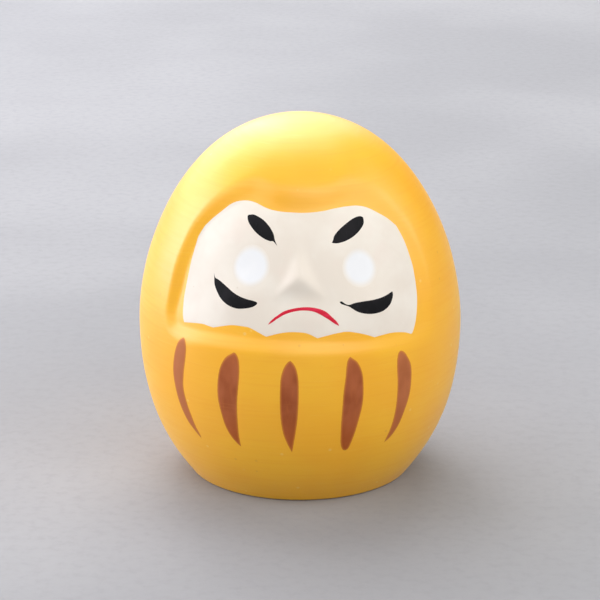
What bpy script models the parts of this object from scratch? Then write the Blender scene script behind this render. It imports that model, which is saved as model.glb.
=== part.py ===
"""Small egg-shaped daruma doll, built as a papier-mache tumbler.

Two moulded paper half shells are pasted together over the sides with paper
strips, a clay weight sits in the bottom, a card disc closes the base, and the
outside carries a ground-and-paint coat with the face, the brush strokes and
the robe stripes painted on it.

Metres, +Z up. The doll faces -Y, and the origin is the middle of its flat base.
Every length below is in millimetres until it is multiplied by MM.
"""

import math

import bmesh
import bpy
import numpy as np

MM = 0.001

# ---------------------------------------------------------------- dimensions
HEIGHT = 56.4            # base to crown
BELLY_R = 25.1           # widest radius
BELLY_Z = 23.7           # height of the widest place
BELLY_PULL = 14.2        # how long the wall stays upright above and below it
CROWN_PULL = 16.3        # roundness of the crown
BASE_R = 17.2            # radius of the flat base
BASE_FLARE = (2.3, 3.0)  # direction in which the wall leaves the base: out, up

UNROLL_R = 25.0          # radius at which the flat layout is wrapped round the egg
STEPS = 48               # facets round the doll
ROWS = 18                # rows from the base to the crown

COAT_T = 0.35            # ground and paint, from the outer surface inwards
STRIP_OUT, STRIP_T = 0.50, 0.12
SHELL_OUT, SHELL_T = 0.77, 1.60
COAT_RIM_Z = 0.3         # the coat stops just above the ground
SHELL_RIM_Z = 0.9        # the shells stand on the base disc
SEAM_GAP = 0.30          # between the two half shells

DISC_R, DISC_T = 15.6, 0.6
WEIGHT_GAP = 0.40        # clay to shell
WEIGHT_TOP = 9.0         # height of the clay in the middle
WEIGHT_EDGE = 6.6        # height of the clay at the wall

FILM_GAP, FILM_T = 0.26, 0.12     # paint films and what lies under them

HOLLOW_DEPTH = (1.15, 1.20, 0.85, 0.50)     # how far the face lies below the robe, from its left side to its right
NOSE_HEIGHT = 1.5
NOSE_ROOT, NOSE_TIP, NOSE_BASE = 41.8, 37.4, 34.6
NOSE_HALF, NOSE_X = 3.5, -0.1
SOCKET_DEPTH = 0.30
PAPER_EASE = 0.6         # the paper's face is eased by this much all round

EYE_L, EYE_R = (-8.8, 38.5), (10.6, 38.0)
EYE_HALF = (2.85, 2.6)

# ------------------------------------------------------------------ egg form


def bezier(p0, p1, p2, p3, t):
    """Points of a cubic Bezier curve at the parameters t."""
    t = np.asarray(t, float)[:, None]
    p0, p1, p2, p3 = (np.asarray(p, float) for p in (p0, p1, p2, p3))
    return (1 - t) ** 3 * p0 + 3 * (1 - t) ** 2 * t * p1 + 3 * (1 - t) * t**2 * p2 + t**3 * p3


def egg_curve(samples=900):
    """The outline from just below the base to the crown: r, z and the outward normal."""
    t = np.linspace(0.0, 1.0, samples)
    low = bezier((BASE_R, 0), (BASE_R + BASE_FLARE[0], BASE_FLARE[1]), (BELLY_R, BELLY_Z - BELLY_PULL), (BELLY_R, BELLY_Z), t)
    high = bezier((BELLY_R, BELLY_Z), (BELLY_R, BELLY_Z + BELLY_PULL), (CROWN_PULL, HEIGHT), (0, HEIGHT), t)
    flare = np.array(BASE_FLARE) / math.hypot(*BASE_FLARE)
    foot = np.array([BASE_R, 0.0]) - np.linspace(5.0, 0.0, 80, endpoint=False)[:, None] * flare
    line = np.vstack([foot, low, high[1:]])
    tangent = np.gradient(line, axis=0)
    tangent /= np.linalg.norm(tangent, axis=1)[:, None]
    tangent[-1] = (-1.0, 0.0)
    return line[:, 0], line[:, 1], tangent[:, 1], -tangent[:, 0]


EGG_R, EGG_Z, EGG_NR, EGG_NZ = egg_curve()


def at_height(z):
    """Radius and outward normal of the egg at a height."""
    return np.interp(z, EGG_Z, EGG_R), np.interp(z, EGG_Z, EGG_NR), np.interp(z, EGG_Z, EGG_NZ)


def row_heights():
    """Heights of the rows, evenly spaced along the outline from the base to the crown."""
    keep = EGG_Z >= SHELL_RIM_Z
    r, z = EGG_R[keep], EGG_Z[keep]
    along = np.concatenate([[0.0], np.cumsum(np.hypot(np.diff(r), np.diff(z)))])
    return np.interp(np.linspace(0.0, along[-1], ROWS + 1), along, z)


def offset_radius(depth, z):
    """Radius, at a height, of the surface that lies depth inside the egg."""
    r, height = EGG_R - EGG_NR * depth, EGG_Z - EGG_NZ * depth
    low = EGG_Z < BELLY_Z
    return float(np.interp(z, height[low], r[low]))


# ----------------------------------------------------------------- face form


def smooth(x):
    x = np.clip(x, 0.0, 1.0)
    return x * x * (3 - 2 * x)


def closed_spline(points, per_span=10):
    """A smooth closed curve through a few points (Catmull-Rom)."""
    pts = np.asarray(points, float)
    out = []
    for i in range(len(pts)):
        a, b, c, d = (pts[(i + k) % len(pts)] for k in (-1, 0, 1, 2))
        for t in np.linspace(0.0, 1.0, per_span, endpoint=False):
            out.append(0.5 * (2 * b + (c - a) * t + (2 * a - 5 * b + 4 * c - d) * t**2 + (3 * b - a - 3 * c + d) * t**3))
    return np.array(out)


# Middle of the sloping wall round the face, on the unrolled sheet (across, height)
HOLLOW_EDGE = closed_spline([
    (-23.1, 33.0), (-22.8, 38.0), (-21.4, 43.0), (-17.4, 46.9), (-11.6, 48.9), (-4.5, 48.0), (1.5, 47.7), (7.0, 48.0),
    (12.8, 48.6), (18.0, 46.8), (21.8, 42.8), (23.0, 37.5), (22.8, 32.0), (21.4, 27.0), (12.0, 26.4), (0.0, 26.9),
    (-12.0, 27.1), (-20.6, 26.9), (-23.0, 28.7),
])


def inside_distance(x, z, loop):
    """Distance to a closed loop, positive inside it."""
    a, b = loop, np.roll(loop, -1, axis=0)
    ab = b - a
    px, pz = x[:, None] - a[None, :, 0], z[:, None] - a[None, :, 1]
    t = np.clip((px * ab[:, 0] + pz * ab[:, 1]) / (ab**2).sum(1), 0, 1)
    d = np.sqrt((px - t * ab[:, 0]) ** 2 + (pz - t * ab[:, 1]) ** 2).min(1)
    crosses = (a[None, :, 1] > z[:, None]) != (b[None, :, 1] > z[:, None])
    step = np.where(ab[:, 1] == 0, 1e-9, ab[:, 1])
    odd = (crosses & (x[:, None] < a[None, :, 0] + pz / step * ab[:, 0])).sum(1) % 2
    return np.where(odd == 1, d, -d)


def relief(x, z):
    """How far the surface stands proud of the egg, over the unrolled sheet."""
    x, z = np.atleast_1d(np.asarray(x, float)), np.atleast_1d(np.asarray(z, float))
    # the recess is deep and steep-sided on the left, wide and soft above, and shallow on the right
    wall = np.interp(z, [27.0, 30.0, 40.0, 46.0], [2.4, 1.9, 2.4, 3.4]) + 0.9 * smooth((x - 8.0) / 12.0)
    sunk = np.interp(x, [-22.0, 0.0, 12.0, 22.0], HOLLOW_DEPTH) * (0.78 + 0.22 * smooth((z - 27.0) / 6.0))
    out = -sunk * smooth(inside_distance(x, z, HOLLOW_EDGE) / wall + 0.5) ** 1.25
    # nose: a soft three-sided pyramid, two flanks that meet in a ridge and a flat underside
    v = (NOSE_ROOT - z) / (NOSE_ROOT - NOSE_BASE)
    tip = (NOSE_ROOT - NOSE_TIP) / (NOSE_ROOT - NOSE_BASE)
    u = (x - NOSE_X) / NOSE_HALF
    flank = (v - (np.sqrt(u * u + 0.30**2) - 0.12)) / tip
    under = (1 - v) / (1 - tip)
    h = -0.15 * np.logaddexp(-flank / 0.15, -under / 0.15)
    out += NOSE_HEIGHT * 0.11 * np.logaddexp(0.0, h / 0.11)
    # sockets round the eyes, and the cheeks under them
    for cx, cz in (EYE_L, EYE_R):
        out -= SOCKET_DEPTH * np.exp(-((x - cx) / 4.4) ** 2 - ((z - cz) / 3.4) ** 2)
    for cx, cz in ((-10.8, 33.3), (11.8, 32.6)):
        out += 0.25 * np.exp(-((x - cx) / 4.2) ** 2 - ((z - cz) / 2.6) ** 2)
    return out


def paper_relief(x, z):
    """The same for the moulded paper: its hollow is a little wider and its nose a little smaller, and the ground fills the difference."""
    reach = [(0.0, 0.0)] + [(PAPER_EASE * math.cos(a), PAPER_EASE * math.sin(a)) for a in np.linspace(0.0, 2 * math.pi, 8, endpoint=False)]
    return np.min([relief(x + dx, z + dz) for dx, dz in reach], axis=0)


def place(x, z, proud=0.0):
    """The point of the doll's surface over a place on the unrolled sheet, in metres."""
    x, z = np.atleast_1d(np.asarray(x, float)), np.atleast_1d(np.asarray(z, float))
    r, nr, nz = at_height(z)
    d = relief(x, z) + proud
    a = x / UNROLL_R
    radius = r + nr * d
    return np.stack([radius * np.sin(a), -radius * np.cos(a), z + nz * d], 1) * MM


# ------------------------------------------------------------ scene and looks

for old in list(bpy.data.objects):
    bpy.data.objects.remove(old, do_unlink=True)

doll = bpy.data.collections.new("daruma_doll")
bpy.context.scene.collection.children.link(doll)

centre = bpy.data.objects.new("doll_centre", None)
centre.empty_display_size = 0.01
doll.objects.link(centre)

COLOURS = {
    "paper": ((0.62, 0.55, 0.43), 0.85),
    "washi": ((0.78, 0.74, 0.64), 0.80),
    "clay": ((0.40, 0.26, 0.17), 0.90),
    "card": ((0.45, 0.35, 0.24), 0.85),
    "robe": ((0.93, 0.50, 0.045), 0.60),
    "skin": ((0.86, 0.77, 0.67), 0.60),
    "white": ((0.90, 0.90, 0.90), 0.50),
    "ink": ((0.012, 0.011, 0.013), 0.40),
    "mouth": ((0.62, 0.012, 0.05), 0.45),
    "stripe": ((0.33, 0.08, 0.022), 0.55),
}


def paint(obj, colour):
    rgb, rough = COLOURS[colour]
    mat = bpy.data.materials.new(obj.name + "_" + colour)
    mat.use_nodes = True
    shader = mat.node_tree.nodes["Principled BSDF"]
    shader.inputs["Base Color"].default_value = (*rgb, 1.0)
    shader.inputs["Roughness"].default_value = rough
    shader.inputs["Metallic"].default_value = 0.0
    obj.data.materials.clear()
    obj.data.materials.append(mat)


def add(name, mesh, colour, location=(0.0, 0.0, 0.0), crease=50.0):
    obj = bpy.data.objects.new(name, mesh)
    obj.location = location
    doll.objects.link(obj)
    obj.parent = centre
    mesh.shade_smooth()
    mesh.set_sharp_from_angle(angle=math.radians(crease))
    paint(obj, colour)
    return obj


def turned(name, section, sweep=360.0, start=0.0, steps=STEPS):
    """A section (r, z), outer side first from top to bottom, turned about Z by a Screw modifier, as a mesh."""
    mesh = bpy.data.meshes.new(name + "_section")
    a = math.radians(start)
    verts = [(r * math.cos(a) * MM, r * math.sin(a) * MM, z * MM) for r, z in section]
    mesh.from_pydata(verts, [(i, i + 1) for i in range(len(verts) - 1)], [])
    guide = bpy.data.objects.new(name + "_section", mesh)
    doll.objects.link(guide)
    screw = guide.modifiers.new("turn", "SCREW")
    screw.axis = "Z"
    screw.angle = math.radians(sweep)
    screw.steps = screw.render_steps = steps
    screw.use_merge_vertices = True
    screw.merge_threshold = 0.00002
    screw.use_normal_calculate = False
    bpy.context.view_layer.update()
    solid = bpy.data.meshes.new_from_object(guide.evaluated_get(bpy.context.evaluated_depsgraph_get()))
    solid.name = name
    bpy.data.objects.remove(guide, do_unlink=True)
    bpy.data.meshes.remove(mesh)
    return solid


def layer_section(out_depth, in_depth, rim_z):
    """Section of a layer of the wall: down its outer side, across its rim, and up its inner side."""
    rows = row_heights()[::-1]
    if rim_z >= rows[-1]:
        rows = rows[:-1]
    section = []
    for depth, heights in ((out_depth, rows), (in_depth, rows[::-1])):
        side = []
        for z in heights:
            r, nr, nz = at_height(z)
            side.append((max(0.0, float(r - nr * depth)), float(z - nz * depth)))
        side = [p for p in side if p[1] > rim_z + 0.8]
        rim = (offset_radius(depth, rim_z), rim_z)
        section += side + [rim] if depth == out_depth else [rim] + side
    return section


def seat(mesh, depths, rim_z, refine_depths):
    """Refines the face area, puts every point on its layer of the egg, and presses the face into it."""
    bm = bmesh.new()
    bm.from_mesh(mesh)
    bmesh.ops.remove_doubles(bm, verts=bm.verts, dist=0.00001)

    def locate():
        co = np.array([v.co for v in bm.verts]) / MM
        radius, azimuth = np.hypot(co[:, 0], co[:, 1]), np.arctan2(co[:, 0], -co[:, 1])
        best = np.empty((len(co), 2))
        for i, (r, z) in enumerate(zip(radius, co[:, 2])):
            k = int(np.argmin((EGG_R - r) ** 2 + (EGG_Z - z) ** 2))
            best[i] = EGG_Z[k], (EGG_R[k] - r) * EGG_NR[k] + (EGG_Z[k] - z) * EGG_NZ[k]
        layer = np.array([min(depths, key=lambda d: abs(d - b)) for b in best[:, 1]])
        return co, azimuth, best[:, 0], layer

    co, azimuth, height, layer = locate()
    x = azimuth * UNROLL_R
    face = (np.abs(x) < 26.5) & (height > 23.0) & (height < 52.0) & np.isin(layer, refine_depths)
    edges = [e for e in bm.edges if face[e.verts[0].index] and face[e.verts[1].index]]
    bm.verts.ensure_lookup_table()
    if edges:
        bmesh.ops.subdivide_edges(bm, edges=edges, cuts=1, use_grid_fill=True)
        bm.verts.index_update()
        co, azimuth, height, layer = locate()
        x = azimuth * UNROLL_R
    r, nr, nz = at_height(height)
    d = np.where(layer > STRIP_OUT, paper_relief(x, height), relief(x, height)) - layer
    for v, a, rr, zz, n1, n2, dd, c in zip(bm.verts, azimuth, r, height, nr, nz, d, co):
        if abs(c[2] - rim_z) < 0.01 or rr < 0.5:
            continue  # the rim and the crown are already where they belong
        radius = rr + n1 * dd
        v.co = (radius * math.sin(a) * MM, -radius * math.cos(a) * MM, (zz + n2 * dd) * MM)
    bm.to_mesh(mesh)
    bm.free()


def close_seam(mesh, side):
    """Fills the cut face of a half shell and draws it back to half of the seam gap."""
    bm = bmesh.new()
    bm.from_mesh(mesh)
    bmesh.ops.remove_doubles(bm, verts=bm.verts, dist=0.00001)
    edge = [e for e in bm.edges if e.is_boundary]
    bmesh.ops.contextual_create(bm, geom=edge)
    bmesh.ops.recalc_face_normals(bm, faces=bm.faces)
    gap = SEAM_GAP / 2 * MM
    reach = BELLY_R * MM
    for v in bm.verts:
        y = max(0.0, side * v.co.y)
        v.co.y = side * (gap + y * (1 - gap / reach))
    bmesh.ops.triangulate(bm, faces=[f for f in bm.faces if len(f.verts) > 4])
    bm.to_mesh(mesh)
    bm.free()


# ------------------------------------------------------------------ the shell

for name, start, side, refine in (("shell_rear", 0.0, 1, ()), ("shell_front", 180.0, -1, (SHELL_OUT,))):
    half = turned(name, layer_section(SHELL_OUT, SHELL_OUT + SHELL_T, SHELL_RIM_Z), 180.0, start, STEPS // 2)
    seat(half, (SHELL_OUT, SHELL_OUT + SHELL_T), SHELL_RIM_Z, refine)
    close_seam(half, side)
    add(name, half, "paper")

coat = turned("robe_coat", layer_section(0.0, COAT_T, COAT_RIM_Z))
seat(coat, (0.0, COAT_T), COAT_RIM_Z, (0.0, COAT_T))
robe = add("robe_coat", coat, "robe")

# Pasted strips that close the seam on both sides, each as wide as two facets
for name, side in (("seam_strip_left", -1), ("seam_strip_right", 1)):
    bm = bmesh.new()
    rows = [z for z in row_heights() if 2.0 < z < HEIGHT - 1.2]
    columns = [side * math.pi / 2 + math.radians(360.0 / STEPS) * k for k in (-1, 0, 1)]
    grid = []
    for z in rows:
        r, nr, nz = at_height(z)
        grid.append([
            bm.verts.new(((r - nr * STRIP_OUT) * math.sin(a) * MM, -(r - nr * STRIP_OUT) * math.cos(a) * MM, (z - nz * STRIP_OUT) * MM))
            for a in columns
        ])
    for low, high in zip(grid, grid[1:]):
        for i in range(2):
            bm.faces.new((low[i], low[i + 1], high[i + 1], high[i]))
    mesh = bpy.data.meshes.new(name)
    bm.to_mesh(mesh)
    bm.free()
    strip = add(name, mesh, "washi")
    thick = strip.modifiers.new("thickness", "SOLIDIFY")
    thick.thickness = STRIP_T * MM
    thick.offset = -1.0

# --------------------------------------------------------------- base parts

bm = bmesh.new()
bmesh.ops.create_cone(bm, cap_ends=True, segments=STEPS, radius1=DISC_R * MM, radius2=DISC_R * MM, depth=DISC_T * MM)
mesh = bpy.data.meshes.new("base_disc")
bm.to_mesh(mesh)
bm.free()
add("base_disc", mesh, "card", location=(0.0, 0.0, DISC_T / 2 * MM), crease=30.0)


def clay_section():
    """A lump of clay pressed into the bottom: domed on top, following the wall, flat underneath."""
    wall = SHELL_OUT + SHELL_T + WEIGHT_GAP
    rim = offset_radius(wall, WEIGHT_EDGE)
    dome = [(rim * math.sin(a), WEIGHT_EDGE + (WEIGHT_TOP - WEIGHT_EDGE) * math.cos(a)) for a in np.linspace(0.0, math.pi / 2, 5)]
    side = [(offset_radius(wall, z), float(z)) for z in np.linspace(WEIGHT_EDGE, SHELL_RIM_Z, 4)[1:]]
    return [(0.0, dome[0][1])] + dome[1:] + side + [(0.0, SHELL_RIM_Z)]


clay = turned("base_weight", clay_section(), steps=STEPS // 2)
bm = bmesh.new()
bm.from_mesh(clay)
bmesh.ops.remove_doubles(bm, verts=bm.verts, dist=0.00001)
bm.to_mesh(clay)
bm.free()
add("base_weight", clay, "clay", crease=40.0)

# -------------------------------------------------------------- paint films


def film(name, points, colour, under):
    """A sheet of points [row][column] on the unrolled layout, laid on the layer under it and given a thickness."""
    bm = bmesh.new()
    rows = [[bm.verts.new(p) for p in place([q[0] for q in row], [q[1] for q in row], 0.6)] for row in points]
    for low, high in zip(rows, rows[1:]):
        for i in range(len(low) - 1):
            bm.faces.new((low[i], low[i + 1], high[i + 1], high[i]))
    bmesh.ops.remove_doubles(bm, verts=bm.verts, dist=0.00001)
    bm.normal_update()
    out = sum(f.normal.x * f.calc_center_median().x + f.normal.y * f.calc_center_median().y for f in bm.faces)
    if out < 0:
        bmesh.ops.reverse_faces(bm, faces=bm.faces)
    mesh = bpy.data.meshes.new(name)
    bm.to_mesh(mesh)
    bm.free()
    obj = add(name, mesh, colour)
    lay = obj.modifiers.new("lay", "SHRINKWRAP")
    lay.target = under
    lay.wrap_method = "NEAREST_SURFACEPOINT"
    lay.wrap_mode = "ABOVE_SURFACE"
    lay.offset = FILM_GAP * MM
    thick = obj.modifiers.new("thickness", "SOLIDIFY")
    thick.thickness = FILM_T * MM
    thick.offset = 1.0
    return obj


def curve_at(points, t):
    """Smooth open curve through points of any width, at the fractions t of its length."""
    p = np.asarray(points, float)
    p = np.vstack([2 * p[0] - p[1], p, 2 * p[-1] - p[-2]])
    out = []
    for s in np.asarray(t) * (len(p) - 3):
        i = min(int(s), len(p) - 4)
        u = s - i
        a, b, c, d = p[i:i + 4]
        out.append(0.5 * (2 * b + (c - a) * u + (2 * a - 5 * b + 4 * c - d) * u**2 + (3 * b - a - 3 * c + d) * u**3))
    return np.array(out)


def stroke(spine, rows=9, blunt=0.12):
    """Rows of points across a brush stroke. The spine gives (across, height, width) from start to tip."""
    line = curve_at(spine, np.linspace(0.0, 1.0, rows))
    flow = np.gradient(line[:, :2], axis=0)
    flow /= np.linalg.norm(flow, axis=1)[:, None]
    across = np.stack([-flow[:, 1], flow[:, 0]], 1)
    half = np.maximum(line[:, 2], blunt) / 2
    return [[line[i, :2] + across[i] * half[i] * k for k in (-1.0, 0.0, 1.0)] for i in range(rows)]


def disc_points(centre_xz, half, n=6):
    """Rows of points that fill an oval: a square grid eased out to a circle."""
    k = np.linspace(-1.0, 1.0, n + 1)
    return [
        [(centre_xz[0] + half[0] * u * math.sqrt(1 - v * v / 2), centre_xz[1] + half[1] * v * math.sqrt(1 - u * u / 2)) for u in k]
        for v in k
    ]


# Painted face: its upper edge, its scalloped lower edge, and its two upright sides
FACE_TOP = [(-20.3, 38.4), (-19.7, 42.2), (-17.9, 44.3), (-15.2, 46.1), (-12.0, 47.0), (-8.2, 46.6), (-4.0, 45.9), (0.5, 45.7),
            (5.0, 46.0), (9.0, 46.3), (12.0, 46.4), (15.0, 45.4), (17.8, 44.0), (19.6, 42.0), (20.4, 38.8)]
FACE_DIPS = [(-20.0, 29.4), (-14.7, 29.0), (-5.6, 28.6), (2.7, 28.5), (12.0, 27.8), (19.4, 27.3)]
FACE_SCALLOP = 0.9       # rise of a full-width scallop between two dips


def face_bottom(x):
    """Height of the scalloped lower edge: a shallow arc between each two dips."""
    for (x0, z0), (x1, z1) in zip(FACE_DIPS, FACE_DIPS[1:]):
        if x <= x1 or x1 == FACE_DIPS[-1][0]:
            t = min(1.0, max(0.0, (x - x0) / (x1 - x0)))
            return z0 + (z1 - z0) * t + FACE_SCALLOP * (x1 - x0) / 9.0 * 4 * t * (1 - t) * (0.45 if x1 - x0 < 6 else 1.0)
    return FACE_DIPS[-1][1]


top_x, top_z = np.array(FACE_TOP).T
columns = np.concatenate([[-1.0, -0.985], np.linspace(-0.93, 0.93, 25), [0.985, 1.0]])
face_rows = []
for v in np.linspace(0.0, 1.0, 10):
    row = []
    for u in columns:
        x_low, x_high = 19.7 * u - 0.3, 20.35 * u + 0.05
        x = x_low + (x_high - x_low) * min(1.0, v * 1.5)
        low, high = face_bottom(x_low), float(np.interp(x_high, top_x, top_z))
        row.append((x, low + (high - low) * v))
    face_rows.append(row)
face = film("face_coat", face_rows, "skin", robe)

film("eye_white_left", disc_points(EYE_L, EYE_HALF), "white", face)
film("eye_white_right", disc_points(EYE_R, (2.7, 2.55)), "white", face)

film("brow_left", stroke([(-11.0, 45.5, 0.7), (-10.0, 44.9, 1.9), (-7.8, 43.7, 2.2), (-5.6, 42.6, 1.2), (-4.4, 41.9, 0.15)]), "ink", face)
film("brow_right", stroke([(12.6, 44.9, 0.8), (11.5, 44.3, 1.9), (9.2, 43.3, 2.1), (7.0, 42.3, 1.2), (5.9, 41.8, 0.25)]), "ink", face)
film("whisker_left", stroke([(-15.8, 37.0, 0.15), (-14.9, 35.5, 1.0), (-12.9, 33.8, 2.1), (-10.3, 32.9, 1.9), (-8.3, 32.9, 1.1), (-6.9, 33.2, 0.5)], rows=11), "ink", face)
film("whisker_right", stroke([(6.6, 33.3, 0.25), (8.6, 32.7, 0.8), (11.0, 32.2, 1.9), (13.2, 32.3, 2.1), (15.0, 33.0, 1.3), (15.9, 34.0, 0.3)], rows=11), "ink", face)
film("mouth", stroke([(-4.9, 30.3, 0.15), (-2.8, 31.9, 0.45), (0.0, 32.7, 0.35), (2.4, 32.6, 0.5), (4.2, 31.7, 0.65), (6.0, 30.1, 0.2)], rows=13), "mouth", face)

# Robe stripes: (across, height, width) from the round top to the drawn-out tip
STRIPES = [
    [(-19.8, 26.5, 0.7), (-20.1, 23.0, 3.0), (-20.8, 19.2, 2.3), (-20.2, 15.8, 1.7), (-19.0, 12.6, 0.9), (-17.7, 10.4, 0.2)],
    [(-10.1, 26.1, 0.8), (-10.7, 22.8, 3.5), (-11.1, 19.0, 3.7), (-11.1, 15.4, 2.9), (-10.6, 12.3, 1.7), (-9.7, 10.2, 0.2)],
    [(-1.5, 25.3, 0.7), (-1.5, 22.2, 2.7), (-1.6, 18.9, 2.9), (-1.6, 15.6, 2.6), (-1.5, 12.6, 1.4), (-1.4, 9.9, 0.2)],
    [(7.5, 25.7, 0.8), (8.1, 22.4, 2.9), (8.1, 18.9, 3.3), (7.8, 15.4, 3.0), (7.6, 12.4, 2.3), (7.5, 9.9, 0.8)],
    [(16.0, 25.4, 0.7), (16.8, 21.9, 3.0), (16.9, 18.4, 2.7), (16.5, 15.3, 2.3), (15.7, 12.4, 1.6), (14.8, 10.0, 0.2)],
]
for number, spine in enumerate(STRIPES, 1):
    film("robe_stripe_%d" % number, stroke(spine, rows=11), "stripe", robe)
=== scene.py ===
import math

import bmesh
import bpy
import numpy as np
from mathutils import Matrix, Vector


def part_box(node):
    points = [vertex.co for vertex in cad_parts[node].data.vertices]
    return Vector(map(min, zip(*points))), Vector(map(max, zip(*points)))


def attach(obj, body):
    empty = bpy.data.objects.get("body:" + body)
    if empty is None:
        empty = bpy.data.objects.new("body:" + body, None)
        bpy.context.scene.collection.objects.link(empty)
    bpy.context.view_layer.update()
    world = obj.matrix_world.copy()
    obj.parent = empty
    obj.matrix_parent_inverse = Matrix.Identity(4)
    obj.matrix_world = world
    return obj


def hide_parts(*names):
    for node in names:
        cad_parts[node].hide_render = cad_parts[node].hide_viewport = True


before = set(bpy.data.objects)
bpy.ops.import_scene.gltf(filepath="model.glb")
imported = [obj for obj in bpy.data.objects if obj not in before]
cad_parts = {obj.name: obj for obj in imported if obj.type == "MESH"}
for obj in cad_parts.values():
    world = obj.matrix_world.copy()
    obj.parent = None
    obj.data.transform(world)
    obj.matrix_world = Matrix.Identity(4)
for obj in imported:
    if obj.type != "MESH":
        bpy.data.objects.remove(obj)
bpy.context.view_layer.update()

# Looks of the egg-shaped daruma doll. Lengths are in millimetres until multiplied by MM.
# x is a distance across the unrolled surface (0 at the front, + to the viewer's right), z the height on the egg.

MM = 0.001
coat_lo, coat_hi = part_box("robe_coat")
HEIGHT = coat_hi.z / MM
K = HEIGHT / 56.4                     # the doll's scale against its drawing
BELLY_R, BELLY_Z = 25.1 * K, 23.7 * K
BELLY_PULL, CROWN_PULL = 14.2 * K, 16.3 * K
BASE_R, BASE_FLARE = 17.2 * K, (2.3 * K, 3.0 * K)
UNROLL_R = 25.0 * K
COAT_T = 0.33
ROOT = "root"


# ------------------------------------------------------------------ egg form


def bezier(p0, p1, p2, p3, t):
    t = np.asarray(t, float)[:, None]
    p0, p1, p2, p3 = (np.asarray(p, float) for p in (p0, p1, p2, p3))
    return (1 - t) ** 3 * p0 + 3 * (1 - t) ** 2 * t * p1 + 3 * (1 - t) * t**2 * p2 + t**3 * p3


def egg_curve(samples=4000):
    t = np.linspace(0.0, 1.0, samples)
    low = bezier((BASE_R, 0), (BASE_R + BASE_FLARE[0], BASE_FLARE[1]), (BELLY_R, BELLY_Z - BELLY_PULL), (BELLY_R, BELLY_Z), t)
    high = bezier((BELLY_R, BELLY_Z), (BELLY_R, BELLY_Z + BELLY_PULL), (CROWN_PULL, HEIGHT), (0, HEIGHT), t)
    line = np.vstack([low, high[1:]])
    tangent = np.gradient(line, axis=0)
    tangent /= np.linalg.norm(tangent, axis=1)[:, None]
    tangent[-1] = (-1.0, 0.0)
    return line[:, 0], line[:, 1], tangent[:, 1], -tangent[:, 0]


EGG_R, EGG_Z, EGG_NR, EGG_NZ = egg_curve()
EGG_S = np.concatenate([[0.0], np.cumsum(np.hypot(np.diff(EGG_R), np.diff(EGG_Z)))])


def at_height(z):
    return np.interp(z, EGG_Z, EGG_R), np.interp(z, EGG_Z, EGG_NR), np.interp(z, EGG_Z, EGG_NZ)


# ----------------------------------------------------------------- face form


def smooth(x):
    x = np.clip(x, 0.0, 1.0)
    return x * x * (3 - 2 * x)


def closed_spline(points, per_span=16):
    pts = np.asarray(points, float)
    out = []
    for i in range(len(pts)):
        a, b, c, d = (pts[(i + k) % len(pts)] for k in (-1, 0, 1, 2))
        for t in np.linspace(0.0, 1.0, per_span, endpoint=False):
            out.append(0.5 * (2 * b + (c - a) * t + (2 * a - 5 * b + 4 * c - d) * t**2 + (3 * b - a - 3 * c + d) * t**3))
    return np.array(out)


def open_spline(points, samples=64):
    """A smooth open curve through the points, sampled evenly along its length."""
    p = np.asarray(points, float)
    p = np.vstack([2 * p[0] - p[1], p, 2 * p[-1] - p[-2]])
    out = []
    for i in range(len(p) - 3):
        a, b, c, d = p[i:i + 4]
        for u in np.linspace(0.0, 1.0, 24, endpoint=False):
            out.append(0.5 * (2 * b + (c - a) * u + (2 * a - 5 * b + 4 * c - d) * u**2 + (3 * b - a - 3 * c + d) * u**3))
    out = np.array(out + [p[-2]])
    s = np.concatenate([[0.0], np.cumsum(np.linalg.norm(np.diff(out, axis=0), axis=1))])
    t = np.linspace(0.0, s[-1], samples)
    return np.stack([np.interp(t, s, out[:, k]) for k in range(out.shape[1])], 1)


# Middle of the sloping wall round the face
HOLLOW_EDGE = closed_spline([
    (-23.1, 33.0), (-22.8, 38.0), (-21.4, 43.0), (-17.4, 46.9), (-11.6, 48.9), (-4.5, 48.0), (1.5, 47.7), (7.0, 48.0),
    (12.8, 48.6), (18.0, 46.8), (21.8, 42.8), (23.0, 37.5), (22.8, 32.0), (21.4, 27.0), (12.0, 26.4), (0.0, 26.9),
    (-12.0, 27.1), (-20.6, 26.9), (-23.0, 28.7),
]) * K
NOSE_ROOT, NOSE_TIP, NOSE_BASE = 41.8 * K, 37.4 * K, 34.6 * K
NOSE_HEIGHT, NOSE_HALF, NOSE_X = 1.50 * K, 3.5 * K, -0.1 * K
EYE_L, EYE_R = (-8.8, 38.5), (10.6, 38.0)


def inside_distance(x, z, loop, chunk=4000):
    """Distance to a closed loop, positive inside it."""
    x, z = np.asarray(x, float).ravel(), np.asarray(z, float).ravel()
    a, b = loop, np.roll(loop, -1, axis=0)
    ab = b - a
    step = np.where(np.abs(ab[:, 1]) < 1e-12, 1e-12, ab[:, 1])
    length2 = np.maximum((ab**2).sum(1), 1e-12)
    out = np.empty(len(x))
    for i in range(0, len(x), chunk):
        px = x[i:i + chunk, None] - a[None, :, 0]
        pz = z[i:i + chunk, None] - a[None, :, 1]
        t = np.clip((px * ab[:, 0] + pz * ab[:, 1]) / length2, 0, 1)
        d = np.sqrt((px - t * ab[:, 0]) ** 2 + (pz - t * ab[:, 1]) ** 2).min(1)
        crosses = (a[None, :, 1] > z[i:i + chunk, None]) != (b[None, :, 1] > z[i:i + chunk, None])
        odd = (crosses & (x[i:i + chunk, None] < a[None, :, 0] + pz / step * ab[:, 0])).sum(1) % 2
        out[i:i + chunk] = np.where(odd == 1, d, -d)
    return out


def hand_wobble(x, z):
    """The slow unevenness of a shape smoothed and painted by hand, up to about 0.05 mm."""
    a = x / UNROLL_R
    return K * (
        0.018 * np.sin(3 * a + 0.13 * z + 0.6) + 0.014 * np.sin(5 * a - 0.21 * z + 2.1)
        + 0.010 * np.sin(9 * a + 0.37 * z + 4.0) + 0.008 * np.sin(14 * a - 0.6 * z + 1.3)
    )


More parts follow.
